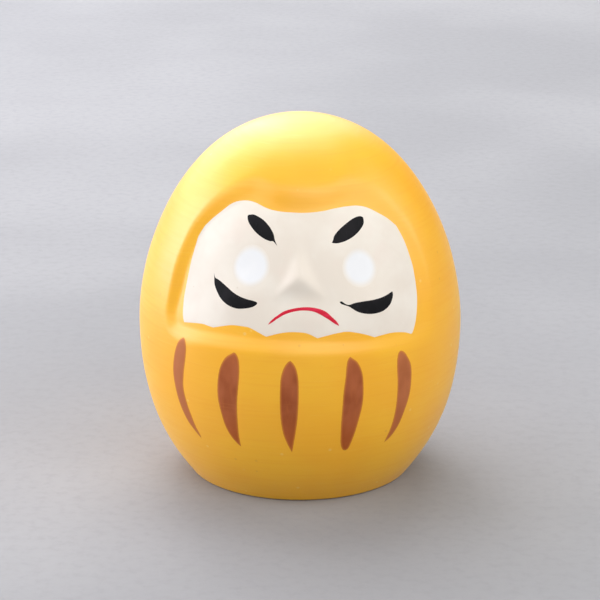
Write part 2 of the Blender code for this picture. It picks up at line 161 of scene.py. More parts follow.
def relief(x, z):
    """How far the surface stands proud of the egg."""
    x, z = np.asarray(x, float).ravel(), np.asarray(z, float).ravel()
    out = hand_wobble(x, z) * smooth((z - 1.0) / 4.0) * smooth((HEIGHT - 0.5 - z) / 3.0)
    near = (np.abs(x) < 27 * K) & (z > 22 * K) & (z < 53 * K)
    xn, zn = x[near], z[near]
    # the recess is deep and steep-sided on the left, wide and soft above, and shallow on the right
    wall = np.interp(zn, np.array([27.0, 30.0, 40.0, 46.0]) * K, np.array([2.9, 2.0, 2.4, 3.4]) * K)
    wall += 0.9 * K * smooth((xn / K - 8.0) / 12.0)
    sunk = np.interp(xn, np.array([-22.0, 0.0, 12.0, 22.0]) * K, np.array([1.15, 1.20, 0.85, 0.50]) * K)
    sunk *= 0.62 + 0.38 * smooth((zn / K - 27.0) / 7.0)
    d = -sunk * smooth(inside_distance(xn, zn, HOLLOW_EDGE) / wall + 0.5) ** 1.25
    # nose: a soft three-sided pyramid, two flanks that meet in a ridge and a flat underside
    v = (NOSE_ROOT - zn) / (NOSE_ROOT - NOSE_BASE)
    tip = (NOSE_ROOT - NOSE_TIP) / (NOSE_ROOT - NOSE_BASE)
    u = (xn - NOSE_X) / NOSE_HALF
    flank = (v - (np.sqrt(u * u + 0.30**2) - 0.12)) / tip
    under = (1 - v) / (1 - tip)
    h = -0.20 * np.logaddexp(-flank / 0.20, -under / 0.20)
    d += NOSE_HEIGHT * 0.16 * np.logaddexp(0.0, h / 0.16)
    # sockets round the eyes, and the cheeks under them
    for cx, cz, depth, wx, wz in (
        (EYE_L[0] - 0.3, EYE_L[1] + 0.3, -0.34, 4.4, 3.4), (EYE_R[0] + 0.2, EYE_R[1] + 0.3, -0.30, 4.4, 3.4),
        (-10.8, 33.3, 0.30, 4.2, 2.6), (11.8, 32.6, 0.30, 4.2, 2.6),
        (0.5, 31.4, 0.18, 6.0, 2.4),
    ):
        d += depth * K * np.exp(-((xn / K - cx) / wx) ** 2 - ((zn / K - cz) / wz) ** 2)
    out[near] += d
    return out


def place(x, z, proud=0.0):
    """Points of the doll's surface, in metres, over places on the unrolled sheet."""
    x, z = np.asarray(x, float).ravel(), np.asarray(z, float).ravel()
    r, nr, nz = at_height(z)
    d = relief(x, z) + proud
    a = x / UNROLL_R
    radius = r + nr * d
    return np.stack([radius * np.sin(a), -radius * np.cos(a), z + nz * d], 1) * MM


# ------------------------------------------------------------- node helpers


class Nodes:
    """Short spellings for building a material's node tree."""

    def __init__(self, name):
        self.mat = bpy.data.materials.new(name)
        self.mat.use_nodes = True
        self.tree = self.mat.node_tree
        self.shader = self.tree.nodes["Principled BSDF"]
        self.coord = self.tree.nodes.new("ShaderNodeTexCoord").outputs["Object"]

    def link(self, a, b):
        self.tree.links.new(a, b)

    def set(self, socket, value):
        self.shader.inputs[socket].default_value = value

    def value(self, node, socket, v):
        if hasattr(v, "is_output") or isinstance(v, bpy.types.NodeSocket):
            self.link(v, node.inputs[socket])
        else:
            node.inputs[socket].default_value = v

    def mapped(self, scale, offset=(0, 0, 0), rotation=(0, 0, 0)):
        n = self.tree.nodes.new("ShaderNodeMapping")
        self.link(self.coord, n.inputs["Vector"])
        n.inputs["Scale"].default_value = scale
        n.inputs["Location"].default_value = offset
        n.inputs["Rotation"].default_value = rotation
        return n.outputs["Vector"]

    def noise(self, scale=(1, 1, 1), size=1.0, detail=3.0, rough=0.55, offset=(0, 0, 0), distortion=0.0, rotation=(0, 0, 0)):
        n = self.tree.nodes.new("ShaderNodeTexNoise")
        self.link(self.mapped(scale, offset, rotation), n.inputs["Vector"])
        n.inputs["Scale"].default_value = size
        n.inputs["Detail"].default_value = detail
        n.inputs["Roughness"].default_value = rough
        n.inputs["Distortion"].default_value = distortion
        return n.outputs["Fac"]

    def voronoi(self, size, feature="F1", randomness=1.0, scale=(1, 1, 1)):
        n = self.tree.nodes.new("ShaderNodeTexVoronoi")
        n.feature = feature
        self.link(self.mapped(scale), n.inputs["Vector"])
        n.inputs["Scale"].default_value = size
        n.inputs["Randomness"].default_value = randomness
        return n.outputs["Distance"], n.outputs["Color"]

    def math(self, op, a, b=0.5, clamp=False):
        n = self.tree.nodes.new("ShaderNodeMath")
        n.operation = op
        n.use_clamp = clamp
        self.value(n, 0, a)
        self.value(n, 1, b)
        return n.outputs[0]

    def ramp(self, fac, lo, hi, out_lo=0.0, out_hi=1.0, smoothstep=True):
        n = self.tree.nodes.new("ShaderNodeMapRange")
        n.interpolation_type = "SMOOTHSTEP" if smoothstep else "LINEAR"
        self.value(n, "Value", fac)
        n.inputs["From Min"].default_value = lo
        n.inputs["From Max"].default_value = hi
        n.inputs["To Min"].default_value = out_lo
        n.inputs["To Max"].default_value = out_hi
        return n.outputs["Result"]

    def mix(self, fac, a, b, blend="MIX"):
        n = self.tree.nodes.new("ShaderNodeMix")
        n.data_type = "RGBA"
        n.blend_type = blend
        n.clamp_factor = True
        self.value(n, 0, fac)
        for i, v in ((6, a), (7, b)):
            if isinstance(v, (tuple, list)):
                n.inputs[i].default_value = (*v[:3], 1.0)
            else:
                self.link(v, n.inputs[i])
        return n.outputs[2]

    def attribute(self, name):
        n = self.tree.nodes.new("ShaderNodeAttribute")
        n.attribute_name = name
        return n.outputs["Fac"]

    def separate(self):
        n = self.tree.nodes.new("ShaderNodeSeparateXYZ")
        self.link(self.coord, n.inputs[0])
        return n.outputs

    def colour(self, socket):
        self.link(socket, self.shader.inputs["Base Color"])

    def roughness(self, socket):
        self.link(socket, self.shader.inputs["Roughness"])

    def bump(self, layers):
        """layers: (height socket in units of a millimetre, strength)"""
        total = None
        for height, amount in layers:
            h = self.math("MULTIPLY", height, amount)
            total = h if total is None else self.math("ADD", total, h)
        n = self.tree.nodes.new("ShaderNodeBump")
        n.inputs["Strength"].default_value = 1.0
        n.inputs["Distance"].default_value = MM
        self.link(total, n.inputs["Height"])
        self.link(n.outputs["Normal"], self.shader.inputs["Normal"])


def srgb(r, g, b):
    """Linear colour from display values 0..255."""
    return tuple((c / 255 / 12.92) if c / 255 <= 0.04045 else ((c / 255 + 0.055) / 1.055) ** 2.4 for c in (r, g, b))


# ---------------------------------------------------------------- materials

YELLOW = (0.905, 0.428, 0.0055)
YELLOW_LIGHT = (0.920, 0.468, 0.008)
YELLOW_DEEP = (0.870, 0.370, 0.004)


def brush_rings(n, size=1.0, offset=(0, 0, 0)):
    """Level brush marks: noise drawn out round the doll and fine in height."""
    return n.noise(scale=(70 * size, 70 * size, 2300 * size), detail=3.0, rough=0.6, offset=offset, distortion=0.25)


def robe_material():
    n = Nodes("robe_paint")
    rings = brush_rings(n)
    fine = brush_rings(n, 2.4, (3, 1, 7))
    cloud = n.noise(scale=(85, 85, 110), detail=2.0, rough=0.5, offset=(2, 5, 1))
    base = n.mix(n.ramp(cloud, 0.35, 0.68), YELLOW, YELLOW_LIGHT)
    base = n.mix(n.ramp(rings, 0.46, 0.74, 0.0, 0.32), base, YELLOW_DEEP)
    base = n.mix(n.ramp(fine, 0.56, 0.80, 0.0, 0.30), base, (0.94, 0.56, 0.085))
    # the paint is thin here and there, and a few dark and light specks are caught in it
    distance, cell = n.voronoi(620)
    pick = n.tree.nodes.new("ShaderNodeSeparateColor")
    n.link(cell, pick.inputs[0])
    dot = n.math("MULTIPLY", n.ramp(distance, 0.10, 0.17, 1.0, 0.0), n.ramp(pick.outputs[0], 0.90, 0.93))
    base = n.mix(n.math("MULTIPLY", dot, 0.30), base, (0.62, 0.27, 0.03))
    light = n.math("MULTIPLY", n.ramp(distance, 0.10, 0.20, 1.0, 0.0), n.ramp(pick.outputs[1], 0.92, 0.95))
    base = n.mix(n.math("MULTIPLY", light, 0.35), base, (0.97, 0.70, 0.22))
    n.colour(base)
    n.roughness(n.ramp(rings, 0.3, 0.8, 0.42, 0.50, False))
    grain = n.noise(scale=(5200, 5200, 5200), detail=2.0, rough=0.6)
    n.bump([(rings, 0.009), (fine, 0.006), (grain, 0.004), (cloud, 0.02), (dot, 0.010), (light, 0.010)])
    n.set("Specular IOR Level", 0.8)
    n.set("Sheen Weight", 0.10)
    n.set("Sheen Roughness", 0.35)
    n.set("Sheen Tint", (1.0, 0.96, 0.90, 1.0))
    return n.mat


def face_material():
    n = Nodes("face_paint")
    cloud = n.noise(scale=(130, 130, 150), detail=3.0, rough=0.55, offset=(4, 0, 2))
    rosy = n.noise(scale=(260, 260, 210), detail=2.0, rough=0.5, offset=(0, 8, 3))
    strokes = n.noise(scale=(900, 900, 240), detail=3.0, rough=0.6, distortion=0.4, rotation=(0.0, 0.35, 0.0))
    base = n.mix(n.ramp(cloud, 0.35, 0.68), (0.755, 0.680, 0.590), (0.800, 0.740, 0.655))
    base = n.mix(n.ramp(rosy, 0.52, 0.75, 0.0, 0.35), base, (0.785, 0.675, 0.595))
    base = n.mix(n.ramp(strokes, 0.55, 0.8, 0.0, 0.20), base, (0.83, 0.775, 0.70))
    distance, cell = n.voronoi(760)
    pick = n.tree.nodes.new("ShaderNodeSeparateColor")
    n.link(cell, pick.inputs[0])
    dot = n.math("MULTIPLY", n.ramp(distance, 0.08, 0.14, 1.0, 0.0), n.ramp(pick.outputs[0], 0.955, 0.97))
    base = n.mix(n.math("MULTIPLY", dot, 0.25), base, (0.55, 0.42, 0.30))
    n.colour(base)
    n.roughness(n.ramp(strokes, 0.3, 0.8, 0.50, 0.62, False))
    grain = n.noise(scale=(4600, 4600, 4600), detail=2.0, rough=0.6)
    n.bump([(strokes, 0.010), (cloud, 0.02), (grain, 0.003), (dot, 0.01)])
    n.set("Specular IOR Level", 0.25)
    return n.mat


def white_material():
    """Soft white paint that thins out to the face colour at its rim."""
    n = Nodes("eye_white_paint")
    body = n.attribute("body")
    cloud = n.noise(scale=(330, 330, 330), detail=2.0, rough=0.5)
    white = n.mix(n.ramp(cloud, 0.35, 0.7), (0.795, 0.80, 0.812), (0.83, 0.83, 0.835))
    cream = n.mix(n.ramp(cloud, 0.35, 0.7), (0.775, 0.705, 0.615), (0.795, 0.73, 0.645))
    n.colour(n.mix(n.ramp(body, 0.04, 0.78), cream, white))
    n.roughness(n.ramp(cloud, 0.3, 0.7, 0.45, 0.58, False))
    grain = n.noise(scale=(4200, 4200, 4200), detail=2.0, rough=0.6)
    n.bump([(grain, 0.003), (cloud, 0.008)])
    n.set("Specular IOR Level", 0.25)
    return n.mat


def ink_material():
    n = Nodes("ink_paint")
    hairs = n.noise(scale=(1500, 1500, 500), detail=3.0, rough=0.65, rotation=(0.0, 0.7, 0.3), distortion=0.5)
    cloud = n.noise(scale=(420, 420, 420), detail=2.0, rough=0.5, offset=(1, 2, 3))
    base = n.mix(n.ramp(cloud, 0.35, 0.7), (0.004, 0.004, 0.005), (0.009, 0.008, 0.010))
    base = n.mix(n.ramp(hairs, 0.55, 0.85, 0.0, 0.6), base, (0.026, 0.025, 0.029))
    n.colour(base)
    n.roughness(n.ramp(hairs, 0.3, 0.8, 0.50, 0.64, False))
    n.bump([(hairs, 0.012), (cloud, 0.01)])
    n.set("Specular IOR Level", 0.12)
    return n.mat


def mouth_material():
    n = Nodes("mouth_paint")
    hairs = n.noise(scale=(500, 500, 2400), detail=2.0, rough=0.6, distortion=0.4)
    body = n.attribute("body")
    base = n.mix(n.ramp(hairs, 0.4, 0.75), (0.58, 0.006, 0.030), (0.68, 0.018, 0.062))
    base = n.mix(n.ramp(body, 0.0, 0.35, 0.45, 0.0), base, (0.74, 0.12, 0.15))
    n.colour(base)
    n.roughness(n.ramp(hairs, 0.3, 0.7, 0.40, 0.52, False))
    n.bump([(hairs, 0.008)])
    n.set("Specular IOR Level", 0.2)
    return n.mat


def stripe_material(name, seed, thin):
    """Thin brown paint: dark where it pooled, warm orange where it is thin, fine marks of the yellow ground through it."""
    n = Nodes(name)
    body = n.attribute("body")
    down = n.attribute("down")
    hairs = n.noise(scale=(1900, 1900, 260), detail=3.0, rough=0.62, offset=(seed, seed * 2, 0), distortion=0.3)
    pool = n.noise(scale=(330, 330, 210), detail=2.0, rough=0.5, offset=(0, seed, seed * 3))
    rings = brush_rings(n)
    base = n.mix(n.ramp(pool, 0.36, 0.66), (0.300, 0.070, 0.020), (0.405, 0.110, 0.040))
    base = n.mix(n.ramp(down, 0.45, 0.95, 0.0, 0.70), base, (0.400, 0.085, 0.012))
    base = n.mix(n.ramp(down, 0.30, 0.0, 0.0, 0.45), base, (0.470, 0.130, 0.045))
    base = n.mix(n.ramp(hairs, 0.50, 0.85, 0.0, 0.45), base, (0.52, 0.145, 0.035))
    base = n.mix(n.ramp(rings, 0.60, 0.80, 0.0, 0.30), base, (0.55, 0.18, 0.05))
    base = n.mix(thin, base, (0.62, 0.24, 0.09))
    base = n.mix(n.ramp(body, 0.0, 0.85, 0.80, 0.0), base, (0.66, 0.235, 0.030))
    n.colour(base)
    n.roughness(n.ramp(hairs, 0.3, 0.8, 0.46, 0.60, False))
    grain = n.noise(scale=(4800, 4800, 4800), detail=2.0, rough=0.6)
    n.bump([(hairs, 0.010), (rings, 0.014), (grain, 0.004)])
    n.set("Specular IOR Level", 0.2)
    return n.mat


def plain_paper(name, a, b, rough=0.85):
    n = Nodes(name)
    fibre = n.noise(scale=(900, 900, 900), detail=5.0, rough=0.7, distortion=1.2)
    layer = n.noise(scale=(150, 150, 190), detail=3.0, rough=0.6)
    base = n.mix(n.ramp(layer, 0.35, 0.68), a, b)
    base = n.mix(n.ramp(fibre, 0.52, 0.72, 0.0, 0.5), base, tuple(min(1.0, c * 1.25) for c in b))
    n.colour(base)
    n.roughness(n.ramp(fibre, 0.3, 0.7, rough - 0.08, rough + 0.06, False))
    n.bump([(fibre, 0.05), (layer, 0.12)])
    return n.mat


def clay_material():
    n = Nodes("dry_clay")
    grit = n.noise(scale=(1400, 1400, 1400), detail=5.0, rough=0.7)
    lump = n.noise(scale=(160, 160, 160), detail=3.0, rough=0.6, offset=(1, 1, 1))
    base = n.mix(n.ramp(lump, 0.35, 0.7), (0.30, 0.185, 0.115), (0.42, 0.275, 0.18))
    base = n.mix(n.ramp(grit, 0.55, 0.75, 0.0, 0.6), base, (0.50, 0.37, 0.26))
    n.colour(base)
    n.roughness(n.ramp(grit, 0.3, 0.7, 0.82, 0.96, False))
    n.bump([(grit, 0.06), (lump, 0.25)])
    return n.mat


# --------------------------------------------------------------- mesh making


def new_object(name, verts, faces, mat, attributes=None, clean=0.0, crease=None):
    mesh = bpy.data.meshes.new(name)
    mesh.from_pydata([tuple(v) for v in verts], [], faces)
    for key, values in (attributes or {}).items():
        layer = mesh.attributes.new(key, "FLOAT", "POINT")
        layer.data.foreach_set("value", np.asarray(values, np.float32))
    if clean:
        bm = bmesh.new()
        bm.from_mesh(mesh)
        bmesh.ops.remove_doubles(bm, verts=bm.verts, dist=clean)
        bmesh.ops.dissolve_degenerate(bm, edges=bm.edges, dist=clean * 0.2)
        bm.to_mesh(mesh)
        bm.free()
    mesh.shade_smooth()
    if crease is not None:
        # a film's rim stays crisp, so that its thin side doesn't darken its face
        bm = bmesh.new()
        bm.from_mesh(mesh)
        for edge in bm.edges:
            if len(edge.link_faces) == 2 and edge.calc_face_angle(0.0) > crease:
                edge.smooth = False
        bm.to_mesh(mesh)
        bm.free()
    obj = bpy.data.objects.new(name, mesh)
    bpy.context.scene.collection.objects.link(obj)
    mesh.materials.append(mat)
    return obj


def sheet_solid(name, grid, mat, base=0.0, thick=0.025, taper=0.25, spread=0.5, sink=0.008, down=None):
    """A thin closed film over a grid [row][column] of places; its rim sinks into the surface under it."""
    grid = np.asarray(grid, float) * K
    rows, cols = grid.shape[:2]
    x, z = grid[..., 0].ravel(), grid[..., 1].ravel()
    loop = np.vstack([grid[0], grid[1:-1, -1], grid[-1][::-1], grid[1:-1, 0][::-1]])
    depth = np.maximum(inside_distance(x, z, loop), 0.0)
    rim = np.zeros((rows, cols), bool)
    rim[0] = rim[-1] = True
    rim[:, 0] = rim[:, -1] = True
    depth[rim.ravel()] = 0.0
    top = place(x, z, base - sink + (thick + sink) * smooth(0.5 + 0.5 * depth / taper) * 2 - (thick + sink))
    under = place(x, z, base - sink - 0.02)
    count = rows * cols
    index = np.arange(count).reshape(rows, cols)
    faces = []
    for i in range(rows - 1):
        for j in range(cols - 1):
            a, b, c, d = int(index[i, j]), int(index[i, j + 1]), int(index[i + 1, j + 1]), int(index[i + 1, j])
            faces.append((a, b, c, d))
            faces.append((a + count, d + count, c + count, b + count))
    ring = list(index[0]) + list(index[1:, -1]) + list(index[-1, ::-1][1:]) + list(index[::-1, 0][1:-1])
    for a, b in zip(ring, ring[1:] + ring[:1]):
        faces.append((int(b), int(a), int(a) + count, int(b) + count))
    # faces look outwards when the sheet's rows run up and its columns run to the viewer's right
    v = top.reshape(rows, cols, 3)
    m, k = rows // 2, cols // 2
    n = np.cross(v[m, min(k + 1, cols - 1)] - v[m, k - 1], v[min(m + 1, rows - 1), k] - v[m - 1, k])
    if np.dot(n, v[m, k] * (1, 1, 0)) < 0:
        faces = [f[::-1] for f in faces]
    full = np.clip(depth / (spread * K), 0, 1)
    attributes = {"body": np.concatenate([full, full])}
    if down:
        t = np.repeat(np.linspace(0, 1, rows), cols)
        attributes["down"] = np.concatenate([t, t])
    return new_object(name, np.vstack([top, under]), faces, mat, attributes, clean=1.2e-6, crease=0.9)


def finish_piece(obj, node):
    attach(obj, ROOT)
    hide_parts(node)
    return obj


# ------------------------------------------------------------------ robe coat


def coat_columns():
    fine = np.arange(-24.6, 24.6001, 0.30) * K
    edge = math.pi * UNROLL_R
    steps = 54
    right = np.linspace(fine[-1], edge, steps + 1)[1:]
    left = -right[::-1][1:]
    return np.concatenate([left, fine, right])      # left and right meet at the back


def coat_rows():
    s_lo, s_hi = np.interp([25.0 * K, 50.5 * K], EGG_Z, EGG_S)
    low = np.linspace(np.interp(0.55, EGG_Z, EGG_S), s_lo, 31)[:-1]
    mid = np.linspace(s_lo, s_hi, int((s_hi - s_lo) / (0.30 * K)) + 1)
    high = np.linspace(s_hi, EGG_S[-1], 24)[1:-1]
    return np.interp(np.concatenate([low, mid, high]), EGG_S, EGG_Z)


def build_coat():
    xs, zs = coat_columns(), coat_rows()
    cols, rows = len(xs), len(zs)
    X, Z = np.meshgrid(xs, zs)
    outer = place(X.ravel(), Z.ravel())
    inner = place(X.ravel(), Z.ravel(), -COAT_T)
    a = xs / UNROLL_R
    # the paint rolls under the foot: a quarter round below the first row, then up to the inner side
    r0 = float(at_height(zs[0])[0])
    foot = []
    radius = 0.40
    for t in (25, 50, 72, 90):
        c, s = math.cos(math.radians(t)), math.sin(math.radians(t))
        foot.append((r0 - radius * 0.85 * (1 - c) - 0.25 * s, zs[0] - (zs[0] - 0.035) * s))
    foot.append((r0 - radius - 0.42, 0.06))
    foot = np.array([[(r * math.sin(b) * MM, -r * math.cos(b) * MM, z * MM) for b in a] for r, z in foot])
    verts = np.vstack([outer, inner, foot.reshape(-1, 3), [[0, 0, HEIGHT * MM]], [[0, 0, (HEIGHT - COAT_T) * MM]]])
    n_grid = rows * cols
    o = lambda i, j: i * cols + j % cols
    p = lambda i, j: n_grid + i * cols + j % cols
    q = lambda i, j: 2 * n_grid + i * cols + j % cols
    crown, under = len(verts) - 2, len(verts) - 1
    faces = []
    for i in range(rows - 1):
        for j in range(cols):
            faces.append((o(i, j), o(i, j + 1), o(i + 1, j + 1), o(i + 1, j)))
            faces.append((p(i, j), p(i + 1, j), p(i + 1, j + 1), p(i, j + 1)))
    for j in range(cols):
        faces.append((o(rows - 1, j), o(rows - 1, j + 1), crown))
        faces.append((p(rows - 1, j + 1), p(rows - 1, j), under))
        faces.append((o(0, j + 1), o(0, j), q(0, j), q(0, j + 1)))
        for i in range(4):
            faces.append((q(i, j + 1), q(i, j), q(i + 1, j), q(i + 1, j + 1)))
        faces.append((q(4, j + 1), q(4, j), p(0, j), p(0, j + 1)))
    return new_object("robe_paint_skin", verts, faces, robe_material())


finish_piece(build_coat(), "robe_coat")

# ------------------------------------------------------------------ face coat

# the two upright sides, from the bottom up, and the upper edge from left to right
FACE_LEFT = [(-20.14, 28.48), (-20.66, 29.48), (-21.00, 30.94), (-21.25, 32.42), (-21.35, 35.45), (-21.50, 38.41), (-21.50, 39.89), (-21.32, 41.37), (-20.58, 42.93)]
FACE_RIGHT = [(18.53, 27.01), (19.15, 27.80), (19.63, 28.70), (20.03, 29.67), (20.51, 31.09), (20.89, 32.52), (21.10, 33.98), (21.23, 35.45), (21.31, 36.91), (21.19, 38.40),
              (21.08, 39.87), (20.77, 41.36), (20.26, 42.85)]
FACE_TOP = [(-20.58, 42.93), (-19.42, 44.09), (-18.57, 44.78), (-16.78, 46.10), (-15.83, 46.64), (-14.79, 47.02), (-13.67, 47.24), (-12.48, 47.37), (-11.21, 47.35),
            (-9.89, 47.19), (-7.31, 46.65), (-4.99, 46.37), (-0.64, 46.20), (3.63, 46.23), (8.09, 46.56), (10.42, 46.62), (12.75, 46.52), (14.90, 46.05),
            (16.85, 45.17), (18.75, 44.13), (20.26, 42.85)]
# the scalloped lower edge: the cream dips to a point between two arcs of yellow
FACE_SCALLOPS = [
    [(-20.14, 28.48), (-18.34, 28.76), (-16.29, 29.00), (-15.29, 28.92), (-14.13, 28.80)],
    [(-14.13, 28.80), (-12.55, 29.25), (-10.83, 29.63), (-9.14, 29.66), (-7.98, 29.57), (-6.66, 29.06), (-5.21, 28.42)],
    [(-5.21, 28.42), (-3.52, 28.94), (-1.99, 29.23), (-0.46, 29.27), (1.07, 29.07), (2.66, 28.33)],
    [(2.66, 28.33), (4.12, 28.65), (5.68, 28.93), (7.26, 29.04), (8.84, 28.73), (10.46, 28.23), (11.69, 27.71)],
    [(11.69, 27.71), (12.99, 27.84), (14.79, 27.93), (16.64, 27.68), (17.57, 27.43), (18.53, 27.01)],
]


def face_grid(rows=76):
    parts = []
    for i, arc in enumerate(FACE_SCALLOPS):
        span = arc[-1][0] - arc[0][0]
        line = open_spline(arc, max(8, int(round(span / 0.27))) + 1)
        parts.append(line if i == 0 else line[1:])
    bottom = np.vstack(parts)
    cols = len(bottom)
    u = (bottom[:, 0] - bottom[0, 0]) / (bottom[-1, 0] - bottom[0, 0])
    v = np.linspace(0.0, 1.0, rows)
    top = open_spline(FACE_TOP, 600)
    s = np.linspace(0.0, 1.0, 600)
    top = np.stack([np.interp(u, s, top[:, 0]), np.interp(u, s, top[:, 1])], 1)
    left, right = open_spline(FACE_LEFT, rows), open_spline(FACE_RIGHT, rows)
    grid = np.empty((rows, cols, 2))
    for i in range(rows):
        for j in range(cols):
            a, b = u[j], v[i]
            grid[i, j] = (
                (1 - b) * bottom[j] + b * top[j] + (1 - a) * left[i] + a * right[i]
                - ((1 - a) * (1 - b) * bottom[0] + a * (1 - b) * bottom[-1] + (1 - a) * b * top[0] + a * b * top[-1])
            )
    return grid


FACE_UP = 0.028     # the face film's outer side above the surface
finish_piece(
    sheet_solid("face_paint_film", face_grid(), face_material(), thick=FACE_UP, taper=0.30),
    "face_coat",
)

# ----------------------------------------------------------- strokes on the face


def two_edge_grid(edge_a, edge_b, rows=40, cols=9):
    """Rows of places between two edges that run from the start of a stroke to its tip."""
    a, b = open_spline(edge_a, rows), open_spline(edge_b, rows)
    k = np.linspace(0.0, 1.0, cols)[None, :, None]
    return a[:, None, :] * (1 - k) + b[:, None, :] * k


def oval_grid(centre, half, turn=0.0, n=28):
    k = np.linspace(-1.0, 1.0, n + 1)
    u, v = np.meshgrid(k, k)
    a, b = half[0] * u * np.sqrt(1 - v * v / 2), half[1] * v * np.sqrt(1 - u * u / 2)
    c, s = math.cos(turn), math.sin(turn)
    return np.stack([centre[0] + a * c - b * s, centre[1] + a * s + b * c], -1)


STROKES = {
    "brow_left": (
        [(-11.14, 45.52), (-11.32, 45.30), (-10.87, 44.58), (-9.82, 43.80), (-8.46, 43.03), (-7.01, 42.46), (-5.72, 42.17), (-5.10, 42.18), (-4.10, 41.45)],
        [(-11.14, 45.52), (-10.85, 45.54), (-10.00, 45.62), (-8.75, 45.40), (-7.34, 44.93), (-6.07, 44.15), (-5.17, 43.27), (-4.78, 42.42), (-4.10, 41.45)],
    ),
    "brow_right": (
        [(13.01, 44.97), (12.71, 45.07), (11.83, 45.05), (10.53, 44.79), (9.06, 44.27), (7.64, 43.62), (6.56, 42.86), (6.22, 42.26), (5.95, 41.99)],
        [(13.01, 44.97), (13.30, 44.80), (13.04, 43.99), (11.88, 43.16), (10.35, 42.45), (8.73, 41.98), (7.32, 41.78), (6.40, 41.80), (5.80, 41.95)],
    ),
    "whisker_left": (
        [(-15.75, 37.10), (-15.40, 36.10), (-15.10, 35.20), (-14.41, 34.27), (-13.35, 33.25), (-11.90, 32.49), (-10.30, 32.18), (-8.82, 32.34), (-7.69, 32.65), (-7.04, 33.04), (-6.88, 33.27)],
        [(-15.75, 37.10), (-15.20, 36.22), (-14.48, 36.00), (-13.55, 35.65), (-12.41, 35.12), (-11.16, 34.51), (-9.84, 34.04), (-8.60, 33.77), (-7.60, 33.63), (-7.00, 33.47), (-6.88, 33.27)],
    ),
    "whisker_right": (
        [(15.82, 34.05), (15.50, 33.97), (14.82, 33.76), (13.66, 33.51), (12.15, 33.36), (10.46, 33.32), (9.00, 33.24), (7.90, 33.02), (7.30, 33.22), (6.75, 33.62), (6.35, 33.55)],
        [(15.82, 34.05), (15.87, 33.60), (15.63, 33.04), (14.94, 32.16), (13.67, 31.47), (12.09, 31.24), (10.49, 31.40), (9.14, 31.85), (7.95, 32.66), (7.25, 32.95), (6.60, 33.20), (6.35, 33.55)],
    ),
    "mouth": (
        [(-5.05, 30.20), (-4.62, 30.43), (-4.10, 30.77), (-3.33, 31.32), (-2.26, 31.90), (-0.88, 32.31), (0.65, 32.46), (2.17, 32.26), (3.42, 31.66), (4.50, 31.00), (5.26, 30.45), (5.80, 30.14), (6.12, 29.98)],
        [(-5.05, 30.20), (-4.80, 30.63), (-4.37, 31.10), (-3.57, 31.74), (-2.45, 32.42), (-0.93, 32.84), (0.73, 33.02), (2.44, 32.88), (3.95, 32.38), (4.93, 31.56), (5.66, 30.84), (6.00, 30.34), (6.12, 29.98)],
    ),
}
ink = ink_material()
for node, (edge_a, edge_b) in STROKES.items():
    red = node == "mouth"
    grid = two_edge_grid(edge_a, edge_b, 56 if red else 48, 7 if red else 13)
    piece = sheet_solid(node + "_stroke", grid, mouth_material() if red else ink, base=FACE_UP, thick=0.022, taper=0.16)
    finish_piece(piece, node)

white = white_material()
for node, centre, half, turn in (
    ("eye_white_left", EYE_L, (3.72, 3.30), 0.0),
    ("eye_white_right", (EYE_R[0], EYE_R[1] + 0.12), (3.42, 3.05), 0.0),
):
    grid = oval_grid(centre, half, turn)
    piece = sheet_solid(node + "_film", grid, white, base=FACE_UP, thick=0.016, taper=1.0, spread=1.75)
    finish_piece(piece, node)

# --------------------------------------------------------------- robe stripes

